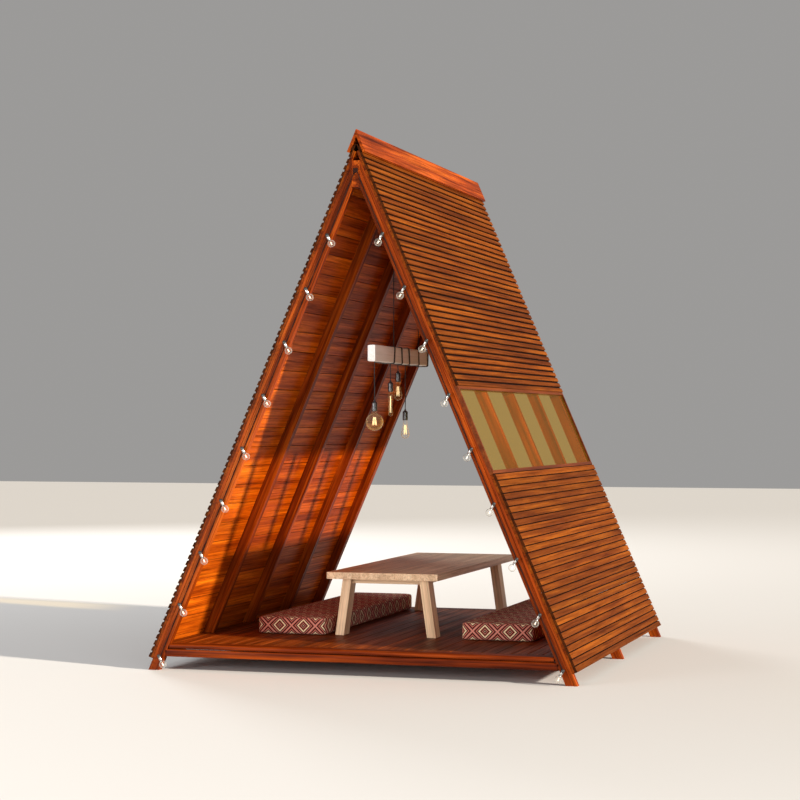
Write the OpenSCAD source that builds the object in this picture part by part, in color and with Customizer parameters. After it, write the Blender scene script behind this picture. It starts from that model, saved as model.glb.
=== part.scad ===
// Open-ended A-frame garden cabin.
// Five pairs of sloping rafters carry lapped boards outside and flat boards inside.
// +Z is up, +X runs across the open front, the front faces -Y, and the ground is z = 0.
// The origin lies on the ground at the middle of the overall box.

/* [Frame] */
// Width across the outer faces of the feet
foot_span = 2378; // [2150:1:3200]
// Height of the point where the rafters' outer faces meet
frame_height = 2781; // [2200:1:3600]
// Depth of the cabin from its front face to its back face
cabin_depth = 2500; // [2450:1:3400]
// Thickness of a rafter along the cabin's depth
rafter_t = 45; // [30:1:60]
// Depth of a rafter across the slope
rafter_d = 56; // [40:1:80]
// Thickness of the ridge beam
ridge_t = 45; // [30:1:60]
// Depth of the ridge beam
ridge_d = 140; // [100:1:180]

/* [Shell] */
// Thickness of the inside lining
lining_t = 14; // [8:1:25]
// Thickness of the lapped outside boards
cladding_t = 16; // [10:1:28]
// Gap under the lowest outside board, measured up the slope
skirt_gap = 66; // [20:1:120]
// Width of each ridge board
ridge_board_w = 95; // [60:1:140]
// Thickness of each ridge board
ridge_board_t = 15; // [8:1:25]

/* [Window] */
// Distance up the slope from the ground to the foot of the window
window_foot = 1166; // [850:1:1400]
// Width of the window band up the slope
window_w = 496; // [300:1:650]
// Width of the window's edge strips
strip_w = 18; // [12:1:30]
// Thickness of the glass
glass_t = 4; // [3:1:10]

/* [Deck] */
// Height of the deck's walking surface
deck_h = 143; // [120:1:220]
// Thickness of the deck boards
deck_t = 25; // [18:1:35]
// Height of the front and back fascia boards
fascia_h = 40; // [25:1:60]
// Thickness of the fascia boards
fascia_t = 25; // [15:1:40]
// Shadow groove between the deck's edge and the fascia
fascia_groove = 3; // [1:1:6]

/* [Table] */
// Width of the table top
table_w = 650; // [450:1:750]
// Length of the table top
table_l = 1775; // [1200:1:1850]
// Height of the table above the deck
table_h = 360; // [280:1:450]
// Thickness of the table top
table_t = 38; // [20:1:50]
// Thickness of a table leg across the table
leg_w = 52; // [35:1:70]
// Depth of a table leg along the table
leg_d = 95; // [60:1:120]
// Sideways lean of the table legs in degrees
leg_lean = 8; // [0:1:10]
// Height of the rails under the table top
rail_h = 28; // [20:1:50]

/* [Floor pads] */
// Width of a floor pad
pad_w = 410; // [300:1:430]
// Length of a floor pad
pad_l = 1700; // [1200:1:1850]
// Thickness of a floor pad
pad_t = 100; // [60:1:140]
// Corner radius of a floor pad
pad_r = 35; // [10:1:60]

/* [Hanging lamps] */
// Thickness of the squared hanging bar
bar_t = 44; // [30:1:60]
// Depth of the squared hanging bar
bar_d = 90; // [60:1:110]
// Length of the hanging bar
bar_l = 1015; // [1010:1:1500]
// Height of the bar's centre line
bar_h = 1720; // [1700:1:1800]
// Diameter of the lamp flex and of the hanger cords
flex_d = 5; // [4:0.5:8]
// Width of each cord winding on the bar
wrap_w = 18; // [12:6:30]
// Diameter of a lamp holder
holder_d = 30; // [24:1:40]
// Length of a lamp holder
holder_l = 62; // [45:1:80]

/* [String lights] */
// Height between neighbouring small lamps
string_pitch = 282; // [150:1:300]
// Height of the lowest small lamp's centre
string_low = 34; // [30:1:80]
// Diameter of a small lamp
string_bulb_d = 40; // [30:1:50]
// Diameter of the string's cable
cable_d = 8; // [5:1:12]

/* [Hidden] */
$fn = 48;

// Seam left between pieces that are fitted against each other
fit_gap = 0.3;
// Space that the string lights take in front of the cabin's front face
lamp_proud = 22 + string_bulb_d / 2;
front_y = (lamp_proud - cabin_depth) / 2;
back_y = front_y + cabin_depth;

// Slope geometry: a point is given by s, the distance up the slope, and n, the height off the
// rafters' outer face, both on the right-hand side.
lean = atan(foot_span / 2 / frame_height);
function at(s, n) = [
    foot_span / 2 - s * sin(lean) + n * cos(lean),
    s * cos(lean) + n * sin(lean)
];
function s_at_height(z, n) = (z - n * sin(lean)) / cos(lean);
function s_at_x(x, n) = (foot_span / 2 + n * cos(lean) - x) / sin(lean);
function x_at_height(z, n) = at(s_at_height(z, n), n)[0];

frame_count = 5;
frame_pitch = (cabin_depth - rafter_t) / (frame_count - 1);
function frame_y(i) = front_y + (i - 1) * frame_pitch;

cladding_in = lining_t;
cladding_out = lining_t + cladding_t;
window_head = window_foot + window_w;
deck_under = deck_h - deck_t;
fascia_under = deck_under - fascia_groove - fascia_h;
ridge_top = at(s_at_x(ridge_t / 2, 0), 0)[1];
ridge_under = ridge_top - ridge_d;

// Groove that runs down the show face of the end rafters
groove_w = 4;
groove_depth = 3;
groove_n = -14;
// How far the groove's cut runs past the rafter's ends
groove_run = 100;

// Window frame: it lies on the rafters, and the glass sits in the middle of its thickness
window_frame_t = 22;
glass_n = 9;

// Table and pads
table_x = -60;
table_setback = 635;
leg_inset_x = 74;
leg_inset_y = 65;
rail_t = 20;
rail_inset = 25;
pad_gap = 218;
pad_x = x_at_height(deck_h + pad_t, -rafter_d) - pad_gap - pad_w / 2;
pad_setback = 650;

// Hanging lamps
bar_setback = 265;
bar_r = 6;
hanger_setbacks = [670, 1150];
winding_setbacks = [610, 750, 890, 1080, 1268];
// Each lamp: setback from the front face, height of the holder's top
globe_lamp = [320, 1466];
tube_lamp = [610, 1577];
drop_lamp = [750, 1636];
far_lamp = [890, 1419];
lamps = [globe_lamp, tube_lamp, drop_lamp, far_lamp];
globe_d = 96;
tube_d = 26;
tube_l = 135;
drop_d = 48;
drop_l = 105;
neck_d = 24;

// String lights
cable_n = 18 - rafter_d;
bulb_n = -rafter_d - 18;
bulb_y = front_y - 22;
socket_d = 18;
socket_near = string_bulb_d / 2 - 3;
socket_far = 60;
socket_tilt = 28;
// The cable starts this far above the lowest small lamp's centre
cable_start = 40;
// The uppermost small lamps stay this far from the cabin's middle plane
string_top_clear = 100;
string_top = at(s_at_x(string_top_clear, bulb_n), bulb_n)[1];
string_count = 1 + floor((string_top - string_low) / string_pitch);

// Flex routes: how far each point swings [sideways, along] from the plumb line. The points are
// spread evenly in height from the holder's top up to the bar.
flex_sway = [
    [0, 0], [0, 0], [0.4, 0.2], [0.8, 0.2], [1, 0], [0.8, -0.4], [0.4, -0.6], [0, -0.4],
    [-0.4, 0], [-0.8, 0.4], [-1, 0.6], [-0.6, 0.4], [-0.2, 0.2], [0, 0], [0, 0], [0, 0]
];

module along_y(y0, length) {
    translate([0, y0 + length, 0]) rotate([90, 0, 0]) linear_extrude(length) children();
}

module mirror_if(left) {
    if (left) {
        mirror([1, 0, 0]) children();
    } else {
        children();
    }
}

// Slab on the right-hand slope from distance s0 to s1 and height n0 to n1
module slope_slab(s0, s1, n0, n1, y0, length) {
    along_y(y0, length) polygon([at(s0, n0), at(s0, n1), at(s1, n1), at(s1, n0)]);
}

// Slab on the right-hand slope from distance s0 up to the middle of the ridge
module slope_slab_to_ridge(s0, n0, n1, y0, length) {
    along_y(y0, length) polygon([
        at(s0, n0), at(s0, n1), at(s_at_x(0, n1), n1), at(s_at_x(0, n0), n0)
    ]);
}

// Outline of a rafter, with its foot cut level at height z0
module rafter_outline(z0, grow = 0) {
    polygon([
        at(s_at_height(z0 - grow, grow), grow),
        at(s_at_x(ridge_t / 2 - grow, grow), grow),
        at(s_at_x(ridge_t / 2 - grow, -rafter_d - grow), -rafter_d - grow),
        at(s_at_height(z0 - grow, -rafter_d - grow), -rafter_d - grow)
    ]);
}

// The first, middle and last frames stand on the ground; the others stop under the fascia line
function foot_z(i) = i % 2 == 1 ? 0 : fascia_under;

module rafter(i, left) {
    color("saddlebrown") mirror_if(left) difference() {
        along_y(frame_y(i), rafter_t) rafter_outline(foot_z(i));
        if (i == 1) {
            slope_slab(-groove_run, s_at_x(-groove_run, 0), groove_n - groove_w, groove_n,
                       front_y - 1, groove_depth + 1);
        }
        if (i == frame_count) {
            slope_slab(-groove_run, s_at_x(-groove_run, 0), groove_n - groove_w, groove_n,
                       back_y - groove_depth, groove_depth + 1);
        }
    }
}

module ridge_beam() {
    color("saddlebrown") translate([-ridge_t / 2 + fit_gap, front_y, ridge_under])
        cube([ridge_t - 2 * fit_gap, cabin_depth, ridge_d]);
}

module ridge_board(left) {
    s0 = s_at_x(0, cladding_out) - ridge_board_w;
    color("sienna") mirror_if(left)
        slope_slab_to_ridge(s0, cladding_out, cladding_out + ridge_board_t, front_y, cabin_depth);
}

module lining_left() {
    color("peru") mirror_if(true)
        slope_slab_to_ridge(skirt_gap, 0, lining_t, front_y, cabin_depth);
}

module lining_right_lower() {
    color("peru") slope_slab(skirt_gap, window_foot, 0, lining_t, front_y, cabin_depth);
}

module lining_right_upper() {
    color("peru") slope_slab_to_ridge(window_head, 0, lining_t, front_y, cabin_depth);
}

module cladding_left() {
    color("chocolate") mirror_if(true)
        slope_slab_to_ridge(skirt_gap, cladding_in, cladding_out, front_y, cabin_depth);
}

module cladding_right_lower() {
    color("chocolate")
        slope_slab(skirt_gap, window_foot, cladding_in, cladding_out, front_y, cabin_depth);
}

module cladding_right_upper() {
    color("chocolate")
        slope_slab_to_ridge(window_head, cladding_in, cladding_out, front_y, cabin_depth);
}

module window_frame() {
    s0 = window_foot + fit_gap;
    s1 = window_head - fit_gap;
    color("darkorange") difference() {
        slope_slab(s0, s1, 0, window_frame_t, front_y, cabin_depth);
        slope_slab(s0 + strip_w, s1 - strip_w, -1, window_frame_t + 1,
                   front_y + strip_w, cabin_depth - 2 * strip_w);
    }
}

module window_pane() {
    edge = strip_w + 2 * fit_gap;
    color([0.85, 0.75, 0.4, 0.4])
        slope_slab(window_foot + edge, window_head - edge, glass_n, glass_n + glass_t,
                   front_y + edge, cabin_depth - 2 * edge);
}

// Level board between the two slopes; n_side is the height off the rafters' outer face where
// its ends are cut
module level_board(z0, z1, n_side, y0, length) {
    along_y(y0, length) polygon([
        [-x_at_height(z0, n_side), z0], [x_at_height(z0, n_side), z0],
        [x_at_height(z1, n_side), z1], [-x_at_height(z1, n_side), z1]
    ]);
}

module deck() {
    color("saddlebrown") difference() {
        level_board(deck_under, deck_h, -fit_gap, front_y, cabin_depth);
        for (i = [1:frame_count], left = [false, true]) {
            mirror_if(left) along_y(frame_y(i) - fit_gap, rafter_t + 2 * fit_gap)
                rafter_outline(0, fit_gap);
        }
    }
}

module fascia(y0) {
    color("sienna")
        level_board(fascia_under, fascia_under + fascia_h, -rafter_d - fit_gap, y0, fascia_t);
}

module floor_joist(i) {
    color("saddlebrown")
        level_board(fascia_under, deck_under, -rafter_d - fit_gap, frame_y(i), rafter_t);
}

// Outline of the bar, grown by the thickness of the cord wound on it
module bar_outline(grow) {
    offset(r = bar_r + grow) square([bar_t - 2 * bar_r, bar_d - 2 * bar_r], center = true);
}

module light_bar() {
    color("ivory") translate([0, 0, bar_h])
        along_y(front_y + bar_setback, bar_l) bar_outline(0);
}

// Cord reach off the bar's surface: a winding adds its own thickness where there is one
function has_winding(setback) = len([for (w = winding_setbacks) if (w == setback) 1]) > 0;
function off_bar(setback) = bar_d / 2 + (has_winding(setback) ? flex_d : 0);

module bar_hangers() {
    color("black") for (setback = hanger_setbacks) {
        foot = bar_h + off_bar(setback);
        translate([0, front_y + setback, foot]) cylinder(h = ridge_under - foot, d = flex_d);
    }
}

module bar_windings() {
    color("black") for (setback = winding_setbacks) {
        translate([0, 0, bar_h]) along_y(front_y + setback - wrap_w / 2, wrap_w) difference() {
            bar_outline(flex_d);
            bar_outline(0);
        }
    }
}

// A lamp's flex drops from the underside of the bar, or of the winding on it
function flex_route(lamp) = let(
    top = bar_h - off_bar(lamp[0]),
    steps = len(flex_sway) - 1
) [
    for (k = [0:steps]) [
        flex_sway[k][0],
        front_y + lamp[0] + flex_sway[k][1],
        lamp[1] + (top - lamp[1]) * k / steps
    ]
];

// Tube of eight sides whose rings lie level, for a flex that hangs straight down
flex_sides = 8;
module level_ring_tube(route, diameter) {
    rings = len(route);
    points = [
        for (p = route, k = [0:flex_sides - 1]) [
            p[0] + diameter / 2 * cos(360 * k / flex_sides),
            p[1] + diameter / 2 * sin(360 * k / flex_sides),
            p[2]
        ]
    ];
    sides = [
        for (r = [0:rings - 2], k = [0:flex_sides - 1]) [
            r * flex_sides + k,
            (r + 1) * flex_sides + k,
            (r + 1) * flex_sides + (k + 1) % flex_sides,
            r * flex_sides + (k + 1) % flex_sides
        ]
    ];
    bottom = [for (k = [0:flex_sides - 1]) k];
    top = [for (k = [0:flex_sides - 1]) rings * flex_sides - 1 - k];
    polyhedron(points, concat([bottom, top], sides));
}

module lamp_cord(lamp) {
    color("black") level_ring_tube(flex_route(lamp), flex_d);
}

module lamp_holders() {
    cap_h = 8;
    color("dimgray") for (lamp = lamps) {
        translate([0, front_y + lamp[0], lamp[1] - holder_l]) {
            cylinder(h = holder_l - cap_h, d = holder_d);
            translate([0, 0, holder_l - cap_h])
                cylinder(h = cap_h, d1 = holder_d, d2 = holder_d / 2);
        }
    }
}

// Glass shapes hang from height 0 downwards
module globe_glass() {
    neck = 10;
    rotate_extrude() union() {
        translate([0, -neck]) square([neck_d / 2, neck]);
        intersection() {
            translate([0, -neck - globe_d / 2 + 2]) circle(d = globe_d);
            translate([0, -2 * globe_d]) square([globe_d, 2 * globe_d]);
        }
    }
}

module tube_glass() {
    cylinder_l = tube_l - tube_d / 2;
    translate([0, 0, -cylinder_l]) cylinder(h = cylinder_l, d = tube_d);
    translate([0, 0, -cylinder_l]) sphere(d = tube_d);
}

module drop_glass() {
    ball_z = -(drop_l - drop_d / 2);
    blend = 25;
    blend_z = ball_z + drop_d / 2 * sin(blend);
    translate([0, 0, ball_z]) sphere(d = drop_d);
    translate([0, 0, blend_z]) cylinder(h = -blend_z, d1 = drop_d * cos(blend), d2 = neck_d);
}

module lamp_bulbs() {
    color("goldenrod") {
        translate([0, front_y + globe_lamp[0], globe_lamp[1] - holder_l]) globe_glass();
        translate([0, front_y + tube_lamp[0], tube_lamp[1] - holder_l]) tube_glass();
        translate([0, front_y + drop_lamp[0], drop_lamp[1] - holder_l]) drop_glass();
        translate([0, front_y + far_lamp[0], far_lamp[1] - holder_l]) drop_glass();
    }
}

function bulb_height(k) = string_low + k * string_pitch;

// Places its child at a small lamp's centre with +Z towards the lamp's socket
module at_string_bulb(k, left) {
    z = bulb_height(k);
    mirror_if(left) translate([x_at_height(z, bulb_n), bulb_y, z]) rotate([0, socket_tilt, 0])
        children();
}

// Cable up one front rafter and down the other, joined at the ridge in a small box
module string_cable() {
    s0 = s_at_height(bulb_height(0) + cable_start, cable_n);
    s1 = s_at_x(cable_d / 2, cable_n);
    foot = at(s0, cable_n);
    cable_y = front_y - cable_d / 2 - fit_gap;
    joint_w = 3 * cable_d;
    color("black") for (left = [false, true]) {
        mirror_if(left) translate([foot[0], cable_y, foot[1]]) rotate([0, -lean, 0])
            cylinder(h = s1 - s0, d = cable_d);
    }
    color("black")
        translate([-joint_w / 2, cable_y - cable_d, at(s1, cable_n)[1] - joint_w / 2])
            cube([joint_w, cable_d * 1.5, joint_w]);
}

// Sockets of the small lamps, each on a clip that rides on the cable
module string_sockets() {
    clip_w = 10;
    clip_at = (cable_n - bulb_n) / sin(socket_tilt + lean);
    clip_l = front_y - cable_d - 2 * fit_gap - bulb_y;
    color("black") for (left = [false, true], k = [0:string_count - 1]) {
        at_string_bulb(k, left) union() {
            translate([0, 0, socket_near]) cylinder(h = socket_far - socket_near, d = socket_d);
            translate([-clip_w / 2, 0, clip_at - clip_w / 2]) cube([clip_w, clip_l, clip_w]);
        }
    }
}

module string_bulbs(left) {
    color("khaki") for (k = [0:string_count - 1]) {
        at_string_bulb(k, left) intersection() {
            sphere(d = string_bulb_d);
            translate([-string_bulb_d, -string_bulb_d, -string_bulb_d])
                cube([2 * string_bulb_d, 2 * string_bulb_d, string_bulb_d + socket_near]);
        }
    }
}

table_under = deck_h + table_h - table_t;

module table_top() {
    color("tan") translate([table_x - table_w / 2, front_y + table_setback, table_under])
        cube([table_w, table_l, table_t]);
}

// One leg, leaning out sideways; sx and sy are its corner's signs
module table_leg(sx, sy) {
    leg_x = table_x + sx * (table_w / 2 - leg_inset_x - leg_w / 2);
    leg_y = front_y + table_setback + table_l / 2 + sy * (table_l / 2 - leg_inset_y - leg_d / 2);
    splay = sx * (table_under - deck_h) * tan(leg_lean);
    along_y(leg_y - leg_d / 2, leg_d) polygon([
        [leg_x + splay - leg_w / 2, deck_h], [leg_x + splay + leg_w / 2, deck_h],
        [leg_x + leg_w / 2, table_under], [leg_x - leg_w / 2, table_under]
    ]);
}

module table_frame() {
    outer_w = table_w - 2 * (leg_inset_x + rail_inset);
    outer_l = table_l - 2 * (leg_inset_y + rail_inset);
    color("tan") {
        for (sx = [-1, 1], sy = [-1, 1]) {
            table_leg(sx, sy);
        }
        translate([table_x, front_y + table_setback + table_l / 2, table_under - rail_h / 2])
            difference() {
                cube([outer_w, outer_l, rail_h], center = true);
                cube([outer_w - 2 * rail_t, outer_l - 2 * rail_t, rail_h + 2], center = true);
            }
    }
}

module floor_pad(left) {
    color("firebrick") mirror_if(left)
        translate([pad_x - pad_w / 2, front_y + pad_setback, deck_h + fit_gap])
            linear_extrude(pad_t) union() {
                translate([pad_r, 0]) square([pad_w - 2 * pad_r, pad_l]);
                translate([0, pad_r]) square([pad_w, pad_l - 2 * pad_r]);
                for (x = [pad_r, pad_w - pad_r], y = [pad_r, pad_l - pad_r]) {
                    translate([x, y]) circle(r = pad_r);
                }
            }
}

for (i = [1:frame_count]) {
    rafter(i, true);
    rafter(i, false);
}
ridge_beam();
ridge_board(true);  // ridge_board_left
ridge_board(false);  // ridge_board_right
lining_left();
lining_right_lower();
lining_right_upper();
cladding_left();
cladding_right_lower();
cladding_right_upper();
window_frame();
window_pane();
deck();
fascia(front_y);  // front_fascia
fascia(back_y - fascia_t);  // back_fascia
for (i = [2:frame_count - 1]) {
    floor_joist(i);
}
light_bar();
bar_hangers();
bar_windings();
lamp_cord(globe_lamp);  // globe_lamp_cord
lamp_cord(tube_lamp);  // tube_lamp_cord
lamp_cord(drop_lamp);  // drop_lamp_cord
lamp_cord(far_lamp);  // far_lamp_cord
lamp_holders();
lamp_bulbs();
string_cable();
string_sockets();
string_bulbs(true);  // string_bulbs_left
string_bulbs(false);  // string_bulbs_right
table_top();
table_frame();
floor_pad(true);  // floor_pad_left
floor_pad(false);  // floor_pad_right
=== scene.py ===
import math
import random

import bpy
import bmesh
from mathutils import Matrix, Vector


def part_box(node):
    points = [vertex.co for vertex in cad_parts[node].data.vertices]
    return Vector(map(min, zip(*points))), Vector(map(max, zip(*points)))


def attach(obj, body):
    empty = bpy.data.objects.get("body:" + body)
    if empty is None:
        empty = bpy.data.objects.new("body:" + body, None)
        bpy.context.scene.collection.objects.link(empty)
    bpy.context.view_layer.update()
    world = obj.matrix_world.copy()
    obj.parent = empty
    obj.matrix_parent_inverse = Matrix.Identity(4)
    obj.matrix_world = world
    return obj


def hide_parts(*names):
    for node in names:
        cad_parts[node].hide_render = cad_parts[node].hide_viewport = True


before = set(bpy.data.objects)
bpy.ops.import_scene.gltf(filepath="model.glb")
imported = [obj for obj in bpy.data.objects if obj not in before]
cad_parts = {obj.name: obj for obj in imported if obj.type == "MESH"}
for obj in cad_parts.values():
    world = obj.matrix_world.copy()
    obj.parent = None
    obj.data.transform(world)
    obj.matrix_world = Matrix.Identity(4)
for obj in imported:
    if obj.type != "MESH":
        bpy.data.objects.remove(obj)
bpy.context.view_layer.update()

# Open-ended A-frame cabin: lapped boards, lining, deck boards, lamps, table and pads around the
# CAD frame. Everything is in metres, +Z up, front facing -Y.

random.seed(7)

# ---------------------------------------------------------------- frame geometry
# A point on a slope is given by s, the distance up the slope, and n, the height off the
# rafters' outer face. side is 1 on the right-hand slope and -1 on the left-hand one.

# Seam that the CAD leaves between fitted pieces
FIT_GAP = 0.0003
ridge_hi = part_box("ridge_beam")[1]
foot_lo, foot_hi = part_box("rafter_right_1")
FRONT_Y = foot_lo.y
RAFTER_T = foot_hi.y - foot_lo.y
BACK_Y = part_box("rafter_right_5")[1].y
HALF_SPAN = foot_hi.x
LEAN = math.atan((HALF_SPAN - ridge_hi.x - FIT_GAP) / ridge_hi.z)
SIN, COS = math.sin(LEAN), math.cos(LEAN)


def at(s, n, side=1):
    return side * (HALF_SPAN - s * SIN + n * COS), s * COS + n * SIN


def s_at_height(z, n):
    return (z - n * SIN) / COS


def s_at_x(x, n):
    return (HALF_SPAN + n * COS - x) / SIN


def slope_range(node):
    """Lowest and highest s and n of a CAD node on the right-hand slope."""
    s_all = []
    n_all = []
    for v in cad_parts[node].data.vertices:
        dx = HALF_SPAN - v.co.x
        s_all.append(dx * SIN + v.co.z * COS)
        n_all.append(v.co.z * SIN - dx * COS)
    return min(s_all), max(s_all), min(n_all), max(n_all)


SKIRT, WINDOW_FOOT, CLAD_IN, CLAD_OUT = slope_range("cladding_right_lower")
WINDOW_HEAD, _, LINING_IN, LINING_OUT = slope_range("lining_right_upper")
RAFTER_IN = slope_range("rafter_right_1")[2]
FRAME_YS = [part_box("rafter_right_%d" % i)[0].y for i in range(1, 6)]
DECK_LO, DECK_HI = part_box("deck")


def new_object(name, data):
    made = bpy.data.objects.new(name, data)
    bpy.context.collection.objects.link(made)
    return made


# ---------------------------------------------------------------- camera
CAMERA_SIDE = 3.335
CAMERA_AHEAD = 10.012
CAMERA_HEIGHT = 1.343
CAMERA_YAW = 17.159
CAMERA_PITCH = 0.651
CAMERA_LENS = 90.03


def make_camera():
    data = bpy.data.cameras.new("camera")
    data.lens = CAMERA_LENS
    data.sensor_width = 36
    data.clip_end = 200
    camera = new_object("camera", data)
    camera.location = (CAMERA_SIDE, FRONT_Y - CAMERA_AHEAD, CAMERA_HEIGHT)
    camera.rotation_euler = (math.radians(90 + CAMERA_PITCH), 0, math.radians(CAMERA_YAW))
    bpy.context.scene.camera = camera


# ---------------------------------------------------------------- mesh helpers
class Mesh:
    """Vertices and faces of one piece, with each board's grain coordinates and tone, and painted
    shade at its points.
    """

    def __init__(self):
        self.verts = []
        self.faces = []
        self.grain = []
        self.tone = []
        # Painted shade for each point: low values darken it as though it lay in shadow
        self.shade = []
        self.end_faces = set()
        # Painted shade on the cut ends; 1.0 leaves them unshaded
        self.end_painted_shade = 1.0

    def add(self, points, faces, axis, shade=None):
        """Adds one solid. axis is the way its grain runs; shade is painted shade that darkens
        single points.
        """
        base = len(self.verts)
        tone = random.random()
        shift = Vector((random.uniform(-40, 40), random.uniform(-9, 9), random.uniform(-9, 9)))
        along = Vector(axis).normalized()
        across = along.cross(Vector((0, 0, 1)))
        if across.length < 0.2:
            across = along.cross(Vector((1, 0, 0)))
        across.normalize()
        third = along.cross(across)
        for p in points:
            p = Vector(p)
            self.verts.append(p)
            self.grain.append(Vector((p.dot(along), p.dot(across), p.dot(third))) + shift)
            self.tone.append(tone)
        self.shade.extend(shade or [1.0] * len(points))
        self.faces.extend([tuple(base + i for i in f) for f in faces])

    def prism(self, rings, axis=(0, 1, 0), shade=None):
        """Adds a solid swept through rings of points, closed at both ends. shade, the painted
        shade, has one value for each point of a ring."""
        count = len(rings[0])
        points = [p for ring in rings for p in ring]
        faces = []
        for r in range(len(rings) - 1):
            for k in range(count):
                nxt = (k + 1) % count
                faces.append((r * count + k, r * count + nxt,
                              (r + 1) * count + nxt, (r + 1) * count + k))
        faces.append(tuple(range(count)))
        faces.append(tuple(len(points) - 1 - k for k in range(count)))
        self.add(points, faces, axis, shade and shade * len(rings))
        self.end_faces.update((len(self.faces) - 2, len(self.faces) - 1))

    def tube(self, path, radius, sides):
        """Adds a round tube along a path."""
        self.prism(tube_rings(path, radius, sides), (0, 0, 1))

    def lathe(self, profile, place, sides, loop=False):
        """Adds a turned solid. profile is (radius, height) points; loop closes it on itself."""
        points = []
        for radius, height in profile:
            for k in range(sides):
                turn = 2 * math.pi * k / sides
                points.append(place @ Vector((radius * math.cos(turn),
                                              radius * math.sin(turn), height)))
        faces = []
        last = len(profile) if loop else len(profile) - 1
        for r in range(last):
            low, high = r * sides, ((r + 1) % len(profile)) * sides
            for k in range(sides):
                nxt = (k + 1) % sides
                faces.append((low + k, low + nxt, high + nxt, high + k))
        if not loop:
            faces.append(tuple(range(sides)))
            faces.append(tuple(len(points) - 1 - k for k in range(sides)))
        self.add(points, faces, (0, 0, 1))

    def make(self, name, material, replaces=(), smooth=None):
        mesh = bpy.data.meshes.new(name)
        mesh.from_pydata([tuple(v) for v in self.verts], [], self.faces)
        grain = mesh.attributes.new("grain", "FLOAT_VECTOR", "POINT")
        grain.data.foreach_set("vector", [c for g in self.grain for c in g])
        mesh.attributes.new("tone", "FLOAT", "POINT").data.foreach_set("value", self.tone)
        shaped = bmesh.new()
        shaped.from_mesh(mesh)
        bmesh.ops.recalc_face_normals(shaped, faces=shaped.faces)
        shaped.to_mesh(mesh)
        shaped.free()
        # Painted shade for each face corner: cut ends take the ends' value, other faces their
        # points' values
        shade = mesh.attributes.new("shade", "FLOAT", "CORNER").data
        for face in mesh.polygons:
            at_end = face.index in self.end_faces
            for corner, v in zip(face.loop_indices, face.vertices):
                shade[corner].value = self.end_painted_shade if at_end else self.shade[v]
        mesh.materials.append(material)
        piece = new_object(name, mesh)
        if smooth is not None:
            smooth_by_angle(piece, smooth)
        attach(piece, "root")
        if replaces:
            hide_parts(*replaces)
        return piece


def tube_rings(path, radius, sides):
    """Rings of points round a path, turned as little as possible from one to the next."""
    path = [Vector(p) for p in path]
    count = len(path)
    rings = []
    normal = None
    for i, p in enumerate(path):
        ahead = path[min(i + 1, count - 1)] - path[max(i - 1, 0)]
        ahead.normalize()
        if normal is None:
            normal = ahead.cross(Vector((0.3, 0.9, 0.2)))
        normal = normal - ahead * normal.dot(ahead)
        normal.normalize()
        side = ahead.cross(normal)
        rings.append([p + radius * (math.cos(t) * normal + math.sin(t) * side)
                      for t in (2 * math.pi * k / sides for k in range(sides))])
    return rings


def smooth_by_angle(piece, degrees):
    """Smooth shading, with edges sharper than the angle kept crisp."""
    mesh = piece.data
    mesh.polygons.foreach_set("use_smooth", [True] * len(mesh.polygons))
    work = bmesh.new()
    work.from_mesh(mesh)
    limit = math.radians(degrees)
    for edge in work.edges:
        sharp = len(edge.link_faces) == 2 and edge.calc_face_angle(0) > limit
        edge.smooth = not sharp
    work.to_mesh(mesh)
    work.free()


def soften(piece, width, segments=2):
    """Rounds a piece's arrises with a bevel modifier."""
    bevel = piece.modifiers.new("soft_edges", "BEVEL")
    bevel.width = width
    bevel.segments = segments
    bevel.limit_method = "ANGLE"
    bevel.angle_limit = math.radians(35)


# ---------------------------------------------------------------- materials
def new_material(name):
    material = bpy.data.materials.new(name)
    material.use_nodes = True
    tree = material.node_tree
    shader = tree.nodes["Principled BSDF"]
    return material, tree, shader


def link(tree, source, target):
    tree.links.new(source, target)


def put(node, values):
    """Sets a node's inputs by name. A colour is given without its alpha."""
    for name, value in values.items():
        node.inputs[name].default_value = (*value, 1) if isinstance(value, tuple) else value


def object_coords(tree):
    return tree.nodes.new("ShaderNodeTexCoord").outputs["Object"]


def noise(tree, coords, scale, detail, roughness=0.55, distortion=0.0):
    node = tree.nodes.new("ShaderNodeTexNoise")
    put(node, {"Scale": scale, "Detail": detail, "Roughness": roughness,
               "Distortion": distortion})
    link(tree, coords, node.inputs["Vector"])
    return node.outputs["Fac"]


def ramp(tree, value, stops, interpolation="LINEAR"):
    node = tree.nodes.new("ShaderNodeValToRGB")
    node.color_ramp.interpolation = interpolation
    elements = node.color_ramp.elements
    while len(elements) < len(stops):
        elements.new(0.5)
    for element, (place, colour) in zip(elements, stops):
        element.position = place
        element.color = (*colour, 1)
    link(tree, value, node.inputs["Fac"])
    return node.outputs["Color"]


def mix(tree, factor, a, b, blend="MIX"):
    node = tree.nodes.new("ShaderNodeMix")
    node.data_type = "RGBA"
    node.blend_type = blend
    for socket, value in ((node.inputs[0], factor), (node.inputs[6], a), (node.inputs[7], b)):
        if isinstance(value, (int, float)):
            socket.default_value = value
        elif isinstance(value, tuple):
            socket.default_value = (*value, 1)
        else:
            link(tree, value, socket)
    return node.outputs[2]


def scaled(tree, coords, scale, turn=None):
    node = tree.nodes.new("ShaderNodeMapping")
    node.inputs["Scale"].default_value = scale
    if turn:
        turned = tree.nodes.new("ShaderNodeMapping")
        turned.inputs["Rotation"].default_value = turn
        link(tree, coords, turned.inputs["Vector"])
        coords = turned.outputs["Vector"]
    link(tree, coords, node.inputs["Vector"])
    return node.outputs["Vector"]


def attribute(tree, name, output):
    node = tree.nodes.new("ShaderNodeAttribute")
    node.attribute_name = name
    return node.outputs[output]


def math_node(tree, operation, *values):
    node = tree.nodes.new("ShaderNodeMath")
    node.operation = operation
    for socket, value in zip(node.inputs, values):
        if isinstance(value, (int, float)):
            socket.default_value = value
        else:
            link(tree, value, socket)
    return node.outputs[0]


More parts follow.
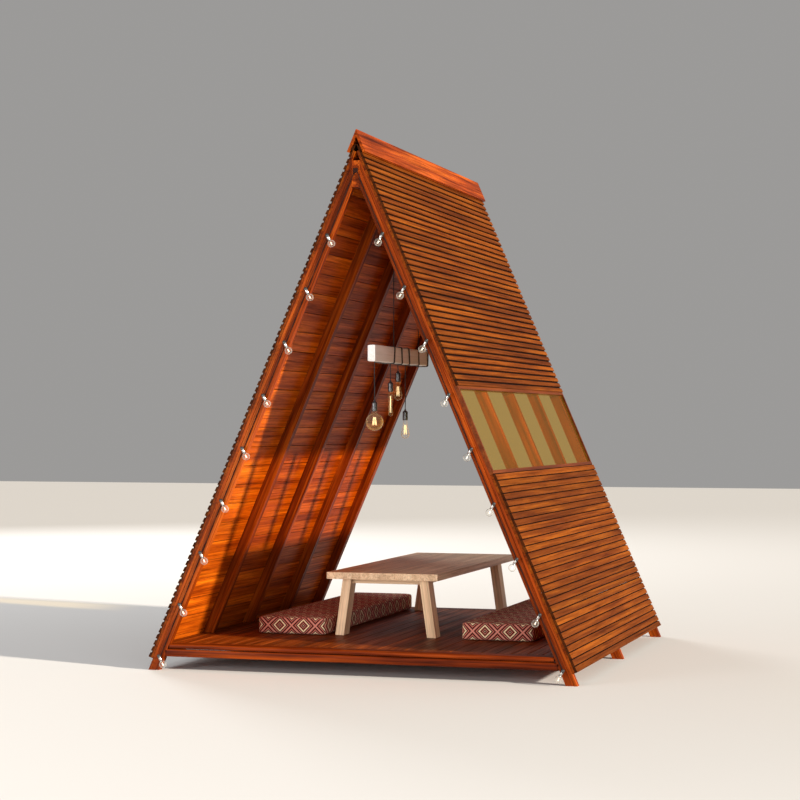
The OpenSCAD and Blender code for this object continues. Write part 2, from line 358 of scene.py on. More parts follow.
def vector_node(tree, operation, vector, value=0.0):
    """Vector arithmetic with the same value on all three axes."""
    node = tree.nodes.new("ShaderNodeVectorMath")
    node.operation = operation
    node.inputs[1].default_value = (value,) * 3
    link(tree, vector, node.inputs[0])
    return node.outputs[0]


def map_range(tree, value, low, high, to_low, to_high):
    node = tree.nodes.new("ShaderNodeMapRange")
    put(node, {"From Min": low, "From Max": high, "To Min": to_low, "To Max": to_high})
    link(tree, value, node.inputs["Value"])
    return node.outputs["Result"]


def bump(tree, height, strength, distance, shader):
    node = tree.nodes.new("ShaderNodeBump")
    put(node, {"Strength": strength, "Distance": distance})
    link(tree, height, node.inputs["Height"])
    link(tree, node.outputs["Normal"], shader.inputs["Normal"])


# Noise scales for timber whose length lies along X: how it varies along and across the grain
BROAD_GRAIN = (0.8, 20, 20)
STREAKS = (1.8, 95, 95)
PORES = (14, 420, 420)
BLEND_OF_TIMBERS = (0.3, 1.7, 0.3)


def wood(name, dark, mid, light, turn=None, tone_spread=0.35, rough=(0.38, 0.55), coat=0.03,
         specular=0.1, grain_bump=0.3, contrast=0.8):
    """Stained timber. Boards made here carry grain coordinates and painted shade; a CAD node has
    none, so turn then turns the object's own coordinates until its length lies along X."""
    material, tree, shader = new_material(name)
    if turn is None:
        coords = attribute(tree, "grain", "Vector")
        tone = attribute(tree, "tone", "Fac")
    else:
        source = object_coords(tree)
        coords = scaled(tree, source, (1, 1, 1), turn)
        tone = noise(tree, scaled(tree, source, BLEND_OF_TIMBERS), 1.0, 0)
    broad = noise(tree, scaled(tree, coords, BROAD_GRAIN), 1.0, 4, 0.6, 0.35)
    streak = noise(tree, scaled(tree, coords, STREAKS), 1.0, 4, 0.65, 0.15)
    pores = noise(tree, scaled(tree, coords, PORES), 1.0, 3, 0.5)
    colour = ramp(tree, broad, [(0.30, dark), (0.5, mid), (0.70, light)])
    lines = ramp(tree, streak, [(0.34, (0.30, 0.24, 0.20)), (0.5, (0.92, 0.90, 0.88)),
                                (0.68, (1.30, 1.32, 1.36))])
    colour = mix(tree, contrast, colour, lines, "MULTIPLY")
    speck = ramp(tree, pores, [(0.35, (0.62, 0.58, 0.55)), (0.55, (1.05, 1.05, 1.05))])
    colour = mix(tree, contrast * 0.7, colour, speck, "MULTIPLY")
    shade = ramp(tree, tone, [(0.0, (1 - tone_spread,) * 3), (1.0, (1 + tone_spread,) * 3)])
    colour = mix(tree, 1.0, colour, shade, "MULTIPLY")
    if turn is None:
        # Painted shade: where the shade attribute is low (grooves, vees, butt undersides, cut
        # ends) the colour is multiplied down to near black
        groove = ramp(tree, attribute(tree, "shade", "Fac"),
                      [(0.0, (0.05, 0.035, 0.03)), (1.0, (1.0, 1.0, 1.0))])
        colour = mix(tree, 1.0, colour, groove, "MULTIPLY")
    link(tree, colour, shader.inputs["Base Color"])
    link(tree, map_range(tree, streak, 0.3, 0.7, rough[1], rough[0]), shader.inputs["Roughness"])
    put(shader, {"Specular IOR Level": specular, "Coat Weight": coat, "Coat Roughness": 0.25})
    bump(tree, mix(tree, 0.35, streak, pores), grain_bump, 0.0012, shader)
    return material


def glass(name, tint, edge_alpha, face_alpha):
    """Thin clear glass: see-through face on, denser at its rim."""
    material, tree, shader = new_material(name)
    put(shader, {"Base Color": tint, "Roughness": 0.03, "IOR": 1.5, "Specular IOR Level": 0.4})
    weight = tree.nodes.new("ShaderNodeLayerWeight")
    put(weight, {"Blend": 0.35})
    rim = math_node(tree, "POWER", weight.outputs["Facing"], 2.0)
    alpha = map_range(tree, rim, 0.0, 1.0, face_alpha, edge_alpha)
    link(tree, alpha, shader.inputs["Alpha"])
    return material


def tinted_pane(name, tint, haze, share):
    """Flat window glass: light passes through it tinted, and a share comes off its surface."""
    material, tree, shader = new_material(name)
    put(shader, {"Base Color": haze})
    smear = noise(tree, object_coords(tree), 3, 4)
    link(tree, map_range(tree, smear, 0.3, 0.7, 0.03, 0.09), shader.inputs["Roughness"])
    clear = tree.nodes.new("ShaderNodeBsdfTransparent")
    put(clear, {"Color": tint})
    both = tree.nodes.new("ShaderNodeMixShader")
    put(both, {"Fac": share})
    link(tree, clear.outputs[0], both.inputs[1])
    link(tree, shader.outputs[0], both.inputs[2])
    link(tree, both.outputs[0], tree.nodes["Material Output"].inputs["Surface"])
    return material


WEAR_SCALE = 400
WEAR_SPREAD = 0.05


def plain(name, colour, roughness, metallic=0.0, coat=0.0, specular=0.5):
    """Moulded, painted or metal surface with faint wear in its gloss."""
    material, tree, shader = new_material(name)
    wear = noise(tree, object_coords(tree), WEAR_SCALE, 4)
    low = tuple(c * 0.8 for c in colour)
    high = tuple(min(1, c * 1.2) for c in colour)
    link(tree, ramp(tree, wear, [(0.3, low), (0.7, high)]), shader.inputs["Base Color"])
    link(tree, map_range(tree, wear, 0.3, 0.7, roughness - WEAR_SPREAD, roughness + WEAR_SPREAD),
         shader.inputs["Roughness"])
    put(shader, {"Metallic": metallic, "Specular IOR Level": specular, "Coat Weight": coat})
    bump(tree, wear, 0.1, 0.0003, shader)
    return material


def glow(name, colour, strength):
    material, _, shader = new_material(name)
    put(shader, {"Base Color": colour, "Emission Color": colour, "Emission Strength": strength})
    return material


def braid(name, colour):
    """Woven cord sleeve: crossing ribs in its bump and a soft fibre sheen."""
    material, tree, shader = new_material(name)
    wave = tree.nodes.new("ShaderNodeTexWave")
    wave.bands_direction = "DIAGONAL"
    put(wave, {"Scale": 260, "Distortion": 1.0})
    link(tree, object_coords(tree), wave.inputs["Vector"])
    low = tuple(c * 0.5 for c in colour)
    link(tree, ramp(tree, wave.outputs["Fac"], [(0.2, low), (0.8, colour)]),
         shader.inputs["Base Color"])
    put(shader, {"Roughness": 0.8, "Sheen Weight": 0.2})
    bump(tree, wave.outputs["Fac"], 0.5, 0.0006, shader)
    return material


KILIM_PITCH = 0.142
KILIM_STEPS = 32
MAROON = (0.29, 0.032, 0.020)
DARK = (0.055, 0.011, 0.009)
ROSE = (0.70, 0.27, 0.20)
CREAM = (1.0, 0.80, 0.50)


def kilim(name):
    """Flat-woven cloth. Stepped diamonds lie one inside another, and the gaps between four of
    them hold the same rings."""
    material, tree, shader = new_material(name)
    weave = attribute(tree, "weave", "Vector")
    cells = scaled(tree, weave, (1 / KILIM_PITCH,) * 3)
    cells = vector_node(tree, "SNAP", cells, 1 / KILIM_STEPS)
    centred = vector_node(tree, "SUBTRACT", vector_node(tree, "FRACTION", cells), 0.5)
    axes = tree.nodes.new("ShaderNodeSeparateXYZ")
    link(tree, vector_node(tree, "ABSOLUTE", centred), axes.inputs[0])
    total = math_node(tree, "ADD", axes.outputs["X"], axes.outputs["Y"])
    ring = math_node(tree, "SUBTRACT", total, 0.5)
    ring = math_node(tree, "ABSOLUTE", ring)
    ring = math_node(tree, "MULTIPLY_ADD", ring, -2.0, 1.0)
    bands = [(0.0, CREAM), (0.03, DARK), (0.16, ROSE), (0.22, DARK), (0.28, MAROON),
             (0.34, DARK), (0.41, CREAM), (0.53, DARK), (0.66, ROSE), (0.72, MAROON),
             (0.78, DARK), (0.91, ROSE)]
    pattern = ramp(tree, ring, bands, "CONSTANT")
    yarn = noise(tree, scaled(tree, weave, (60, 900, 60)), 1.0, 3)
    shade = ramp(tree, yarn, [(0.3, (0.8, 0.8, 0.8)), (0.7, (1.35, 1.35, 1.35))])
    link(tree, mix(tree, 0.9, pattern, shade, "MULTIPLY"), shader.inputs["Base Color"])
    put(shader, {"Roughness": 0.95, "Specular IOR Level": 0.08, "Sheen Weight": 0.02})
    wave = tree.nodes.new("ShaderNodeTexWave")
    put(wave, {"Scale": 150, "Distortion": 0.6})
    link(tree, weave, wave.inputs["Vector"])
    bump(tree, wave.outputs["Fac"], 0.35, 0.001, shader)
    return material


def rafter_stain(name, turn):
    return wood(name, (0.060, 0.007, 0.001), (0.25, 0.036, 0.002), (0.53, 0.110, 0.009),
                turn=turn, specular=0.05, coat=0.01)


ALONG_Y = (0, 0, -math.pi / 2)
RAFTER_R = rafter_stain("rafter_right_wood", (0, math.pi / 2 + LEAN, 0))
RAFTER_L = rafter_stain("rafter_left_wood", (0, math.pi / 2 - LEAN, 0))
RIDGE = rafter_stain("ridge_wood", ALONG_Y)
BEAM = wood("beam_wood", (0.050, 0.006, 0.001), (0.15, 0.019, 0.001), (0.30, 0.050, 0.004),
            tone_spread=0.1, specular=0.06, coat=0.015)
LINING = wood("lining_wood", (0.23, 0.031, 0.001), (0.45, 0.077, 0.002), (0.66, 0.15, 0.005),
              tone_spread=0.14, specular=0.05, coat=0.01)
CLADDING = wood("cladding_wood", (0.080, 0.015, 0.001), (0.150, 0.034, 0.002),
                (0.25, 0.066, 0.004), tone_spread=0.18, rough=(0.5, 0.7), specular=0.05,
                coat=0.0, contrast=0.62)
WINDOW = wood("window_wood", (0.070, 0.012, 0.001), (0.11, 0.021, 0.002), (0.16, 0.036, 0.003),
              turn=ALONG_Y, contrast=0.35)
DECK = wood("deck_wood", (0.085, 0.016, 0.002), (0.21, 0.040, 0.003), (0.38, 0.082, 0.007),
            tone_spread=0.22, specular=0.05, coat=0.02)
TABLE = wood("table_wood", (0.64, 0.40, 0.22), (0.83, 0.57, 0.34), (0.92, 0.68, 0.43),
             tone_spread=0.12, rough=(0.42, 0.58), coat=0.0, specular=0.45, grain_bump=0.2,
             contrast=0.45)
BAR = wood("bar_wood", (0.84, 0.81, 0.75), (0.92, 0.90, 0.86), (0.96, 0.95, 0.93),
           tone_spread=0.01, rough=(0.35, 0.5), coat=0.0, specular=0.5, grain_bump=0.12,
           contrast=0.15)
PANE = tinted_pane("window_glass", (0.92, 0.80, 0.48), (0.30, 0.17, 0.02), 0.14)
AMBER = glass("amber_glass", (0.66, 0.48, 0.24), 0.62, 0.020)
CLEAR = glass("clear_glass", (0.50, 0.48, 0.43), 0.85, 0.03)
CORD = braid("black_braid", (0.02, 0.02, 0.022))
HOLDER = plain("holder_black", (0.03, 0.03, 0.032), 0.25, coat=0.6)
SOCKET = plain("socket_black", (0.02, 0.02, 0.02), 0.35, coat=0.3)
CABLE = plain("cable_dark", (0.020, 0.006, 0.004), 0.7, specular=0.1)
NICKEL = plain("collar_nickel", (0.55, 0.54, 0.52), 0.25, metallic=1.0)
FILAMENT = glow("filament", (1.0, 0.78, 0.42), 1.0)
GLINT = glow("small_filament", (1.0, 0.92, 0.75), 0.5)
KILIM = kilim("kilim_wool")


# ---------------------------------------------------------------- boards on the slopes
BOARD_FACE = 0.0365
GROOVE_LOWER = 0.0055
GROOVE_UPPER = 0.011
BOARD_TONGUE = 0.006
BOARD_DROP = 0.002
BOARD_CHAMFER = 0.0015
BOARD_STATIONS = 9
# Painted shade on the cut ends of cladding and lining boards, darkening them as though in shadow
BOARD_END_PAINTED_SHADE = 0.3
# Most that a board is thinner, or shorter at one end, than its neighbours
BOARD_THINNING = 0.0008
BOARD_SHORTENING = 0.004
LINING_SHORTENING = 0.002
# Slight waviness of a board's face, and how far off the lining its proud part begins
BOARD_WAVE = 0.0006
BOARD_PROUD = 0.008
# Clear gap between a board and its neighbour, and to what it lies on
LAP_GAP = 0.0003
BED_GAP = 0.0002


def slope_ring(outline, y, side):
    """Cross-section of a board on a slope, from (s, n) points."""
    return [(x, y, z) for x, z in (at(s, n, side) for s, n in outline)]


def lapped_board(mesh, s0, s1, side, groove):
    """One outside board: its lower edge stands proud, and a rebate at its upper edge takes the
    next board, which leaves a shadow groove."""
    out = CLAD_OUT - random.uniform(0, BOARD_THINNING)
    face = s1 - s0 - groove
    outline = [
        (s0, CLAD_IN + BED_GAP),
        (s0, out - BOARD_CHAMFER),
        (s0 + BOARD_CHAMFER, out),
        (s0 + face - BOARD_CHAMFER, out - BOARD_DROP),
        (s0 + face, out - BOARD_DROP - BOARD_CHAMFER),
        (s0 + face, CLAD_IN + BOARD_TONGUE),
        (s1 - LAP_GAP, CLAD_IN + BOARD_TONGUE),
        (s1 - LAP_GAP, CLAD_IN + BED_GAP),
    ]
    front = FRONT_Y + random.uniform(0, BOARD_SHORTENING)
    back = BACK_Y - random.uniform(0, BOARD_SHORTENING)
    wave = random.uniform(0, 6.28)
    rings = []
    for k in range(BOARD_STATIONS):
        y = front + (back - front) * k / (BOARD_STATIONS - 1)
        lift = BOARD_WAVE * math.sin(wave + 4 * y)
        raised = [(s, n + (lift - BOARD_WAVE if n > CLAD_IN + BOARD_PROUD else 0))
                  for s, n in outline]
        rings.append(slope_ring(raised, y, side))
    # Painted shade on the outline's points: the groove where the next board laps over goes dark,
    # and the butt's underside and the face's upper edge partly darker
    mesh.prism(rings, shade=[0.2, 0.9, 1.0, 1.0, 0.7, 0.0, 0.0, 0.0])


def cladding(part, side, s_from, s_to, groove):
    """Lapped boards for one part of the slopes, from s_from up to s_to."""
    count = round((s_to - s_from) / BOARD_FACE)
    step = (s_to - s_from) / count
    mesh = Mesh()
    mesh.end_painted_shade = BOARD_END_PAINTED_SHADE
    for k in range(count):
        lapped_board(mesh, s_from + k * step, s_from + (k + 1) * step, side, groove)
    mesh.make("cladding_boards_" + part, CLADDING, ["cladding_" + part])


LINING_W = 0.115
LINING_CHAMFER = 0.0022
LINING_GAP = 0.0004


def lining(part, side, s_from, s_to):
    """Inside boards, laid edge to edge with a small vee between them, painted dark as shade."""
    count = round((s_to - s_from) / LINING_W)
    step = (s_to - s_from) / count
    mesh = Mesh()
    mesh.end_painted_shade = BOARD_END_PAINTED_SHADE
    for k in range(count):
        a, b = s_from + k * step + LINING_GAP, s_from + (k + 1) * step - LINING_GAP
        inner, outer = LINING_IN + BED_GAP, LINING_OUT - BED_GAP
        outline = [(a, outer), (a, inner + LINING_CHAMFER), (a + LINING_CHAMFER, inner),
                   (b - LINING_CHAMFER, inner), (b, inner + LINING_CHAMFER), (b, outer)]
        front = FRONT_Y + random.uniform(0, LINING_SHORTENING)
        back = BACK_Y - random.uniform(0, LINING_SHORTENING)
        rings = [slope_ring(outline, y, side) for y in (front, back)]
        # Painted shade: the sides of the vee between boards go dark
        mesh.prism(rings, shade=[0.0, 0.1, 1.0, 1.0, 0.1, 0.0])
    mesh.make("lining_boards_" + part, LINING, ["lining_" + part])


# Boards stop this far short of the ridge line
RIDGE_CLEARANCE = 0.004


def shell():
    clad_top = s_at_x(0, CLAD_IN) - RIDGE_CLEARANCE
    lining_top = s_at_x(0, LINING_IN) - RIDGE_CLEARANCE
    cladding("left", -1, SKIRT, clad_top, GROOVE_UPPER)
    cladding("right_lower", 1, SKIRT, WINDOW_FOOT, GROOVE_LOWER)
    cladding("right_upper", 1, WINDOW_HEAD, clad_top, GROOVE_UPPER)
    lining("left", -1, SKIRT, lining_top)
    lining("right_lower", 1, SKIRT, WINDOW_FOOT)
    lining("right_upper", 1, WINDOW_HEAD, lining_top)


# ---------------------------------------------------------------- CAD nodes that keep their shape
def dress(node, material, edge):
    """Gives a CAD node its material, and rounds its arrises by edge."""
    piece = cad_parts[node]
    piece.data.materials.clear()
    piece.data.materials.append(material)
    if edge:
        soften(piece, edge)


RAFTER_ARRIS = 0.0025
RIDGE_ARRIS = 0.003
JOIST_ARRIS = 0.002
WINDOW_ARRIS = 0.002


def frame_timber():
    for i in range(1, 6):
        dress("rafter_left_%d" % i, RAFTER_L, RAFTER_ARRIS)
        dress("rafter_right_%d" % i, RAFTER_R, RAFTER_ARRIS)
    for node in ("ridge_beam", "ridge_board_left", "ridge_board_right"):
        dress(node, RIDGE, RIDGE_ARRIS)
    for i in (2, 3, 4):
        dress("floor_joist_%d" % i, RIDGE, JOIST_ARRIS)
    dress("window_frame", WINDOW, WINDOW_ARRIS)
    dress("window_pane", PANE, 0)
    dress("bar_hangers", CORD, 0)


# ---------------------------------------------------------------- deck
DECK_BOARD = 0.081
DECK_GAP = 0.003
DECK_ARRIS = 0.002
DECK_UNEVEN = 0.0006
EDGE_BOARD = 0.088
EDGE_ROUND = 0.008
FASCIA_ROUND = 0.006
FASCIA_CLEARANCE = 0.006
# Half the deck's width, a little short of the rafters' inner faces
DECK_REACH = at(s_at_height(DECK_HI.z, RAFTER_IN), RAFTER_IN)[0] - 0.0015
# The strips between the rafters: their gaps to the deck, to the lining and to each rafter
STRIP_GAP = 0.002
STRIP_LINING_GAP = 0.0006
STRIP_RAFTER_GAP = 0.0005


def slab_ring(x0, x1, y, z0, z1, edge):
    """Cross-section of a floor board, in the plane across Y, with eased top arrises."""
    return [(x0, y, z0), (x0, y, z1 - edge), (x0 + edge, y, z1),
            (x1 - edge, y, z1), (x1, y, z1 - edge), (x1, y, z0)]


def front_ring(y_out, y_in, x, z0, z1, edge):
    """Cross-section of a board that runs along X, with rounded arrises on its outer face."""
    steps = [math.radians(turn) for turn in (0, 30, 60, 90)]
    ring = [(x, y_in, z0), (x, y_in, z1)]
    for a in steps[::-1]:
        ring.append((x, y_out + edge - edge * math.cos(a), z1 - edge + edge * math.sin(a)))
    for a in steps:
        ring.append((x, y_out + edge - edge * math.cos(a), z0 + edge - edge * math.sin(a)))
    return ring


def back_ring(y_out, y_in, x, z0, z1, edge):
    """The same cross-section, facing the back."""
    ring = front_ring(-y_out, -y_in, x, z0, z1, edge)
    return [(px, -py, pz) for px, py, pz in ring]


def deck():
    mesh = Mesh()
    z0, z1 = DECK_LO.z, DECK_HI.z
    count = round(2 * DECK_REACH / DECK_BOARD)
    step = 2 * DECK_REACH / count
    y0, y1 = FRONT_Y + EDGE_BOARD + DECK_GAP, BACK_Y - EDGE_BOARD - DECK_GAP
    for k in range(count):
        x0 = -DECK_REACH + k * step + DECK_GAP / 2
        x1 = -DECK_REACH + (k + 1) * step - DECK_GAP / 2
        top = z1 - random.uniform(0, DECK_UNEVEN)
        mesh.prism([slab_ring(x0, x1, y, z0, top, DECK_ARRIS) for y in (y0, y1)])
    for side in (-1, 1):
        inner = side * (DECK_REACH + STRIP_GAP)
        outer_low = at(s_at_height(z0, -STRIP_LINING_GAP), -STRIP_LINING_GAP, side)[0]
        outer_top = at(s_at_height(z1, -STRIP_LINING_GAP), -STRIP_LINING_GAP, side)[0]
        for near, far in zip(FRAME_YS, FRAME_YS[1:]):
            mesh.prism([[(inner, y, z0), (inner, y, z1), (outer_top, y, z1), (outer_low, y, z0)]
                        for y in (near + RAFTER_T + STRIP_RAFTER_GAP, far - STRIP_RAFTER_GAP)])
    mesh.make("deck_boards", DECK, ["deck"])


def edge_boards():
    """Rounded boards across the deck's ends, and the fascias under them."""
    edges = Mesh()
    for y_out, y_in, section in ((FRONT_Y, FRONT_Y + EDGE_BOARD, front_ring),
                                 (BACK_Y, BACK_Y - EDGE_BOARD, back_ring)):
        edges.prism([section(y_out, y_in, x, DECK_LO.z, DECK_HI.z, EDGE_ROUND)
                     for x in (-DECK_REACH, DECK_REACH)], axis=(1, 0, 0))
    edges.make("deck_edge_boards", BEAM, smooth=40)
    for name, node, section in (("fascia_board_front", "front_fascia", front_ring),
                                ("fascia_board_back", "back_fascia", back_ring)):
        lo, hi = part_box(node)
        y_out, y_in = (lo.y, hi.y) if section is front_ring else (hi.y, lo.y)
        half = at(s_at_height(lo.z, RAFTER_IN), RAFTER_IN)[0] - FIT_GAP
        ends = (-half + FASCIA_CLEARANCE, half - FASCIA_CLEARANCE)
        fascia = Mesh()
        fascia.prism([section(y_out, y_in, x, lo.z, hi.z, FASCIA_ROUND) for x in ends],
                     axis=(1, 0, 0))
        fascia.make(name, BEAM, [node], smooth=40)


# ---------------------------------------------------------------- hanging lamps
BAR_LO, BAR_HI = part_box("light_bar")
BAR_HALF_T = BAR_HI.x
BAR_HALF_D = (BAR_HI.z - BAR_LO.z) / 2
BAR_Z = (BAR_LO.z + BAR_HI.z) / 2
BAR_ROUND = 0.006
# How far the timber lies inside the CAD bar, more so at its ends, and how uneven it is
BAR_INSET = 0.0002
BAR_END_INSET = 0.0015
BAR_UNEVEN = 0.0005
FLEX_R = 0.0025
# Each winding: setback from the front, turns, slant, and sideways bow of the cord that leads
# to it along the bar's underside
WINDINGS = [
    (0.610, 2.5, 0.007, 0.0),
    (0.750, 2.5, -0.005, 0.006),
    (0.890, 2.5, -0.006, -0.005),
    (1.080, 1.5, -0.004, 0.004),
    (1.268, 1.5, 0.004, -0.004),
]
WOUND_AT = [winding[0] for winding in WINDINGS]
WINDING_STEPS = 40
WINDING_PITCH = 2 * FLEX_R * 1.08
LEAD_STEPS = 12
LEAD_CLEAR = 0.009
LEAD_START = 0.002
LEAD_SAG = 0.0025
HOLDER_D = 0.030
HOLDER_L = 0.062
# Each flex, from its holder up to the bar: sideways and along, in millimetres
FLEX_SWAY = [
    (0, 0), (0, 0), (0.4, 0.2), (0.8, 0.2), (1, 0), (0.8, -0.4), (0.4, -0.6), (0, -0.4),
    (-0.4, 0), (-0.8, 0.4), (-1, 0.6), (-0.6, 0.4), (-0.2, 0.2), (0, 0), (0, 0), (0, 0),
]


def bar_point(turn, grow):
    """A point on the bar's outline, grown outwards; turn runs from 0 to 1 round it, from the
    middle of the top over the right-hand side."""
    a, c = BAR_HALF_T - BAR_ROUND, BAR_HALF_D - BAR_ROUND
    r = BAR_ROUND + grow
    bend = math.pi / 2 * r
    left = (turn % 1.0) * (4 * a + 4 * c + 4 * bend)
    runs = [(a, (0, 1), (1, 0), (0, 0)), (2 * c, (1, 0), (0, -1), (1, 1)),
            (2 * a, (0, -1), (-1, 0), (1, -1)), (2 * c, (-1, 0), (0, 1), (-1, -1)),
            (a, (0, 1), (1, 0), (-1, 1))]
    for k, (length, out, ahead, corner) in enumerate(runs):
        if left <= length or k == 4:
            start = (corner[0] * a, c if k == 0 else corner[1] * c)
            return (start[0] + ahead[0] * left + out[0] * r,
                    start[1] + ahead[1] * left + out[1] * r)
        left -= length
        if left <= bend:
            angle = left / r
            heading = runs[k + 1][1]
            centre = runs[k + 1][3]
            return (centre[0] * a + r * (out[0] * math.cos(angle) + heading[0] * math.sin(angle)),
                    centre[1] * c + r * (out[1] * math.cos(angle) + heading[1] * math.sin(angle)))
        left -= bend


def light_bar():
    """Squared timber with eased arrises, slightly uneven along its length."""
    mesh = Mesh()
    sides, steps = 48, 40
    rings = []
    for k in range(steps + 1):
        y = BAR_LO.y + (BAR_HI.y - BAR_LO.y) * k / steps
        end = BAR_END_INSET if k in (0, steps) else 0.0
        ring = []
        for j in range(sides):
            x, z = bar_point(j / sides, -BAR_INSET - end)
            wave = BAR_UNEVEN * math.sin(9 * y + 5 * j / sides) - BAR_UNEVEN
            ring.append((x + math.copysign(wave, x), y, BAR_Z + z + math.copysign(wave, z)))
        rings.append(ring)
    mesh.prism(rings)
    mesh.make("light_bar_timber", BAR, ["light_bar"], smooth=35)


def windings():
    """Cord wound round the bar, slightly slanted, and led along its underside."""
    mesh = Mesh()
    for setback, turns, slant, _ in WINDINGS:
        path = []
        steps = int(turns * WINDING_STEPS)
        for k in range(steps + 1):
            x, z = bar_point(turns * k / steps, FLEX_R)
            along = (k / steps - 0.5) * turns * WINDING_PITCH
            path.append((x, FRONT_Y + setback + along + slant * z / BAR_HALF_D, BAR_Z + z))
        mesh.tube(path, FLEX_R, sides=8)
    low = BAR_Z - BAR_HALF_D - FLEX_R
    first = FRONT_Y + LAMPS["globe"][0] + LEAD_START
    for setback, _, _, shift in WINDINGS:
        span = FRONT_Y + setback - LEAD_CLEAR - first
        path = []
        for j in range(LEAD_STEPS + 1):
            bow = math.sin(math.pi * j / LEAD_STEPS)
            path.append((shift * bow, first + span * j / LEAD_STEPS, low - LEAD_SAG * bow))
        mesh.tube(path, FLEX_R, sides=8)
        first = FRONT_Y + setback + LEAD_CLEAR
    mesh.make("bar_cord_windings", CORD, ["bar_windings"], smooth=60)


def holder(name, setback, top, replaces):
    """Lamp holder: strain relief, ribbed skirt and a shade ring, turned in one."""
    mesh = Mesh()
    r = HOLDER_D / 2
    profile = [(0.0028, 0), (0.0052, -0.0004), (0.0056, -0.006), (0.0075, -0.008),
               (r * 0.86, -0.0115), (r * 0.97, -0.0145), (r, -0.018), (r, -0.030),
               (r * 0.94, -0.0305), (r * 0.94, -0.0325), (r, -0.033), (r, -0.036),
               (r * 0.94, -0.0365), (r * 0.94, -0.0385), (r, -0.039), (r, -0.057),
               (r * 0.97, -0.060), (r * 0.90, -HOLDER_L), (r * 0.70, -HOLDER_L)]
    mesh.lathe(profile, Matrix.Translation((0, FRONT_Y + setback, top)), sides=32)
    return mesh.make(name, HOLDER, replaces, smooth=40)


def arc(radius, centre, start, stop, steps):
    """Points (radius, height) on a circle about the lamp's axis, angles from straight down."""
    points = []
    for k in range(steps + 1):
        a = math.radians(start + (stop - start) * k / steps)
        points.append((max(radius * math.sin(a), 0.0001), centre - radius * math.cos(a)))
    return points


LAMP_WALL = 0.0009


def shell_of(profile, wall):
    """A thin-walled outline from an outer one: down the outside, back up the inside."""
    inner = [(max(r - wall, 0.00008), z + (wall if r < 0.004 else 0)) for r, z in profile]
    return profile + inner[::-1]


def globe_profile(size, neck_r, neck_l):
    r = size / 2
    start = math.degrees(math.asin(neck_r / r))
    centre = -neck_l - r * math.cos(math.radians(start))
    return [(neck_r, 0), (neck_r, -neck_l * 0.6)] + arc(r, centre, 180 - start, 0, 22)


def tube_profile(size, length):
    r = size / 2
    return [(r * 0.8, 0), (r * 0.86, -0.008), (r, -0.02), (r, -length + r)] \
        + arc(r, -length + r, 80, 0, 9)


def drop_profile(size, length, neck_r):
    r = size / 2
    centre = -length + r
    upper = [(neck_r, 0), (neck_r, -0.012)]
    for k in range(1, 7):
        t = k / 6
        ease = t * t * (3 - 2 * t)
        upper.append((neck_r + (r * 0.985 - neck_r) * ease, -0.012 + (centre + 0.014) * t))
    return upper + arc(r, centre, 100, 0, 16)


# Each lamp: setback from the front, height of its holder's top, its bulb's outline, and its
# filament's radius, top and foot below the holder, and number of strands
DROP = (drop_profile(0.048, 0.105, 0.012), (0.009, -0.026, -0.082, 4))
LAMPS = {
    "globe": (0.320, 1.466, globe_profile(0.096, 0.012, 0.010), (0.012, -0.030, -0.075, 6)),
    "tube": (0.610, 1.577, tube_profile(0.026, 0.135), (0.004, -0.022, -0.118, 3)),
    "drop": (0.750, 1.636, *DROP),
    "far": (0.890, 1.419, *DROP),
}
FILAMENT_R = 0.0007
FILAMENT_STEPS = 6
FILAMENT_NARROWING = 0.6


def cage(mesh, place, radius, top, bottom, strands):
    """Filament strung down and up again between a narrow ring and a wider one below it."""
    narrow = radius * FILAMENT_NARROWING
    for k in range(strands):
        ends = []
        for turn, r, z in ((k, narrow, top), (k + 0.5, radius, bottom), (k + 1, narrow, top)):
            a = 2 * math.pi * turn / strands
            ends.append(Vector((r * math.cos(a), r * math.sin(a), z)))
        for p, q in zip(ends, ends[1:]):
            mesh.tube([place @ p.lerp(q, t / FILAMENT_STEPS) for t in range(FILAMENT_STEPS + 1)],
                      FILAMENT_R, sides=6)


def lamps():
    first = True
    for key, (setback, top, outline, strung) in LAMPS.items():
        body = holder("lamp_holder_" + key, setback, top, ["lamp_holders"] if first else [])
        place = Matrix.Translation((0, FRONT_Y + setback, top - HOLDER_L))
        bulb = Mesh()
        bulb.lathe(shell_of(outline, LAMP_WALL), place, sides=32, loop=True)
        bulb.make("lamp_bulb_" + key, AMBER,
                  ["lamp_bulbs"] if first else [], smooth=60)
        wires = Mesh()
        cage(wires, place, *strung)
        wires.make("lamp_filament_" + key, FILAMENT, smooth=60)
        first = False
        flex(key, setback, top)


def flex(key, setback, top):
    """The flex from the bar, or the winding on it, straight down to the holder."""
    high = BAR_Z - BAR_HALF_D - (2 * FLEX_R if setback in WOUND_AT else 0)
    last = len(FLEX_SWAY) - 1
    path = []
    for k, (sideways, along) in enumerate(FLEX_SWAY):
        z = top + (high - top) * k / last
        path.append(Vector((sideways / 1000, FRONT_Y + setback + along / 1000, z)))
    path.reverse()
    mesh = Mesh()
    mesh.tube(path, FLEX_R, sides=10)
    piece = mesh.make("flex_" + key, CORD, [key + "_lamp_cord"], smooth=60)


# ---------------------------------------------------------------- string lights
STRING_COUNT = 9
STRING_PITCH = 0.282
STRING_LOW = 0.034
STRING_D = 0.040
STRING_WALL = 0.0008
SOCKET_TILT = math.radians(28)
BULB_N = RAFTER_IN - 0.018
BULB_Y = FRONT_Y - 0.022
SOCKET_NEAR = STRING_D / 2 - 0.003
SOCKET_FAR = 0.060
CABLE_D = 0.008
CABLE_N = RAFTER_IN + 0.018
CABLE_STEPS = 90
# The cable starts this far above the lowest lamp, and ends this far short of the middle
CABLE_START = 0.04
CABLE_END = 0.004
# Radius of one of the cable's two strands, how far it swings in and out, and its turn per step
STRAND_R = 0.0021
STRAND_SWING = (0.0017, 0.0015)
STRAND_TURN = 0.9
# Half the width of the junction box at the ridge, and its gap to the rafters
JUNCTION = 0.012
JUNCTION_GAP = 0.0004


